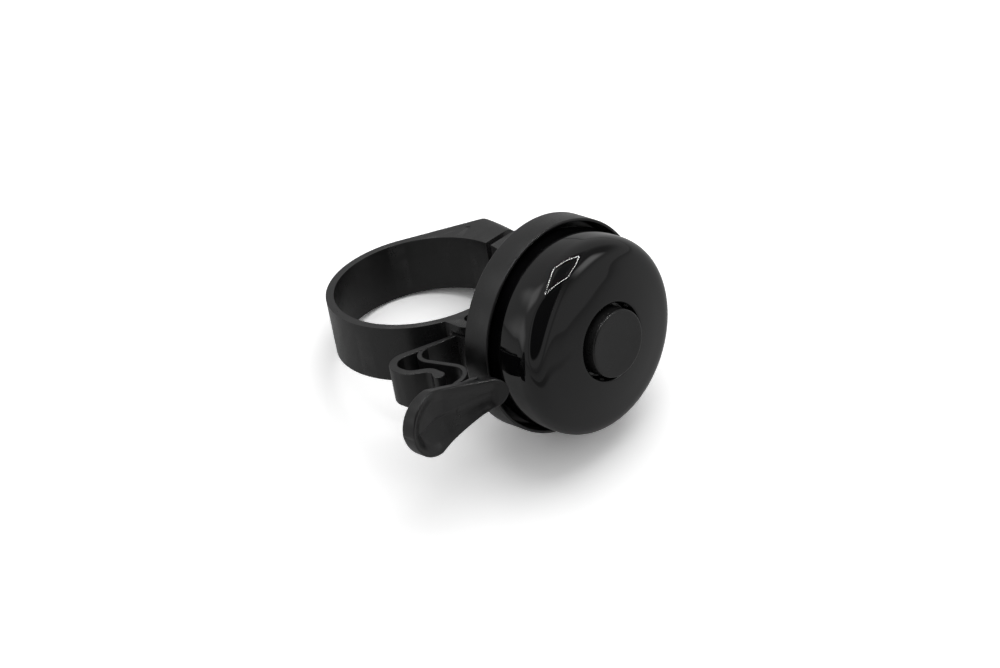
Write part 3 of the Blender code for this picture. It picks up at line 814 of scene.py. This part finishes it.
def soft_glow(name, strength, edge, inner):
    """An emitter that fades out towards the rim of its card, where edge gives the share that fades.  With
    inner it is a ring, clear in the middle."""
    made, tree = bare_material(name)
    where = put(tree, "ShaderNodeTexCoord").outputs["Object"]
    squared = put(tree, "ShaderNodeVectorMath", {0: where, 1: where}, operation="MULTIPLY").outputs[0]
    length = put(tree, "ShaderNodeVectorMath", {0: squared}, operation="LENGTH").outputs["Value"]
    reach = put(tree, "ShaderNodeMath", {0: length, 1: 0.5}, operation="POWER").outputs[0]
    share = put(tree, "ShaderNodeMapRange", {"Value": reach, "From Min": 1.0, "From Max": 1.0 - edge},
                interpolation_type="SMOOTHSTEP").outputs[0]
    if inner:
        hole = put(tree, "ShaderNodeMapRange", {"Value": reach, "From Min": inner, "From Max": inner + edge},
                   interpolation_type="SMOOTHSTEP").outputs[0]
        share = put(tree, "ShaderNodeMath", {0: share, 1: hole}, operation="MULTIPLY").outputs[0]
    clear = put(tree, "ShaderNodeBsdfTransparent")
    lamp = put(tree, "ShaderNodeEmission", {"Strength": strength})
    mix = put(tree, "ShaderNodeMixShader", {0: share, 1: clear.outputs[0], 2: lamp.outputs[0]})
    put(tree, "ShaderNodeOutputMaterial", {0: mix.outputs[0]})
    return made


def soft_card(name, centre, facing, wide, high, strength, edge, lean=0, inner=0.0):
    """A round-edged panel seen only in reflections: wide and high in metres, turned by lean degrees."""
    made = soft_glow(name, strength, edge, inner)
    flat = ((-1, -1, 0), (1, -1, 0), (1, 1, 0), (-1, 1, 0))
    obj = staged(name, flat, [(0, 1, 2, 3)], made,
                 visible_camera=False, visible_diffuse=False, visible_shadow=False)
    turn = facing.to_track_quat("Z", "Y").to_matrix().to_4x4() @ Matrix.Rotation(radians(lean), 4, "Z")
    obj.matrix_world = Matrix.Translation(centre) @ turn @ Matrix.Diagonal((wide / 2, high / 2, 1, 1))


def card(name, azimuth, elevation, wide, high, strength, edge, reach, lean=0, inner=0.0):
    """A reflected panel facing the bell, wide and high in degrees."""
    centre = direction(azimuth, elevation, reach)
    u, v = 2 * reach * tan(radians(wide / 2)), 2 * reach * tan(radians(high / 2))
    soft_card(name, centre, -centre.normalized(), u, v, strength, edge, lean, inner)


def softbox(name, azimuth, elevation, reach, size, power):
    """A big soft area light aimed at the bell, left out of reflections."""
    data = bpy.data.lights.new(name, "AREA")
    data.shape = "DISK"
    data.size = size
    data.energy = power
    lamp = bpy.data.objects.new(name, data)
    lamp.location = direction(azimuth, elevation, reach)
    lamp.rotation_euler = (-lamp.location).to_track_quat("-Z", "Y").to_euler()
    lamp.visible_glossy = False
    bpy.context.scene.collection.objects.link(lamp)


def tent():
    """An even white surround: full to the camera, about half in reflections, and for matt surfaces dim at
    the horizon and brighter above."""
    world = bpy.data.worlds.new("tent")
    bpy.context.scene.world = world
    world.use_nodes = True
    tree = world.node_tree
    path = put(tree, "ShaderNodeLightPath")
    where = put(tree, "ShaderNodeTexCoord")
    height = put(tree, "ShaderNodeSeparateXYZ", {0: where.outputs["Generated"]})
    rise = put(tree, "ShaderNodeMapRange", {"Value": height.outputs["Z"], "From Max": TENT_RISE,
                                            "To Min": TENT_LOW, "To Max": TENT_HIGH})
    matt = put(tree, "ShaderNodeMapRange", {"Value": path.outputs["Is Diffuse Ray"],
                                            "To Min": TENT_MIRRORED, "To Max": rise.outputs["Result"]})
    tone = put(tree, "ShaderNodeMapRange", {"Value": path.outputs["Is Camera Ray"],
                                            "To Min": matt.outputs["Result"], "To Max": TENT_SEEN})
    back = tree.nodes["Background"]
    join(tree, tone.outputs["Result"], back.inputs["Strength"])
    join(tree, (1, 1, 1, 1), back.inputs["Color"])


def studio():
    """The surround, the floor, the panels that the dome reflects, and the one lamp."""
    tent()
    floor(cad_box[0].z)
    led_frame()
    card("opening", -36, 44, 80, 68, strength=0.05, edge=0.12, reach=0.5)
    card("opening_frame", -34, 42, 106, 86, strength=0.15, edge=0.16, reach=0.52, inner=0.78)
    card("frame_panel", 79, 75, 60, 50, strength=0.14, edge=0.4, reach=0.4, lean=45)
    card("window_wall", 46, 36, 76, 60, strength=0.2, edge=0.6, reach=0.56)
    card("window_right", 38, 26, 28, 24, strength=1.9, edge=0.7, reach=0.45)
    card("window_left", -153, 40, 30, 36, strength=1.5, edge=0.7, reach=0.45)
    card("wall_left", -125, 12, 44, 26, strength=1.2, edge=0.8, reach=0.55)
    spot, up = Vector((0.15, -0.08, cad_box[0].z + MM)), Vector((0, 0, 1))
    soft_card("dark_foreground", spot, up, 0.09, 0.30, strength=0.2, edge=0.6, lean=-28)
    softbox("overhead", 120, 66, reach=0.9, size=1.0, power=4.0)
    bpy.context.scene.view_settings.view_transform = "Standard"


def camera():
    """The camera, above the lever's side of the bell."""
    data = bpy.data.cameras.new("camera")
    data.sensor_width = 36.0
    data.lens = 124.43
    data.clip_start, data.clip_end = 0.01, 20.0
    view = bpy.data.objects.new("camera", data)
    view.location = (0.28635, -0.30354, 0.46068)
    view.rotation_euler = [radians(a) for a in (41.681, 0.184, 41.301)]
    bpy.context.scene.collection.objects.link(view)
    bpy.context.scene.camera = view


# ---------------------------------------------------------------------------------------------------------
# Putting it together


def carry(node, look):
    """Gives a CAD node whose shape is right a finer material."""
    paint(frame["nodes"][node], look)


def main():
    """Every piece, then the studio and the camera."""
    body_black = moulded_plastic("body_black")
    clamp_strap(body_black)
    base_block(body_black)
    base_cup(body_black)
    dome(gloss_paint("dome_black"))
    button_cap(moulded_plastic("cap_black", roughness=0.32, grain=0.0004))
    lever_guard(body_black)
    lever_spring(body_black)
    thumb_lever(body_black)
    plated = steel("plated_steel")
    for node in ("hinge_pin", "clamp_screw", "clamp_washer", "clamp_nut", "dome_washer", "dome_screw"):
        carry(node, plated)
    carry("thread_insert", steel("insert_brass", (0.6, 0.42, 0.18), 0.35))
    carry("dome_post", body_black)
    carry("dome_seat", rubber("seat_rubber"))
    studio()
    camera()


main()
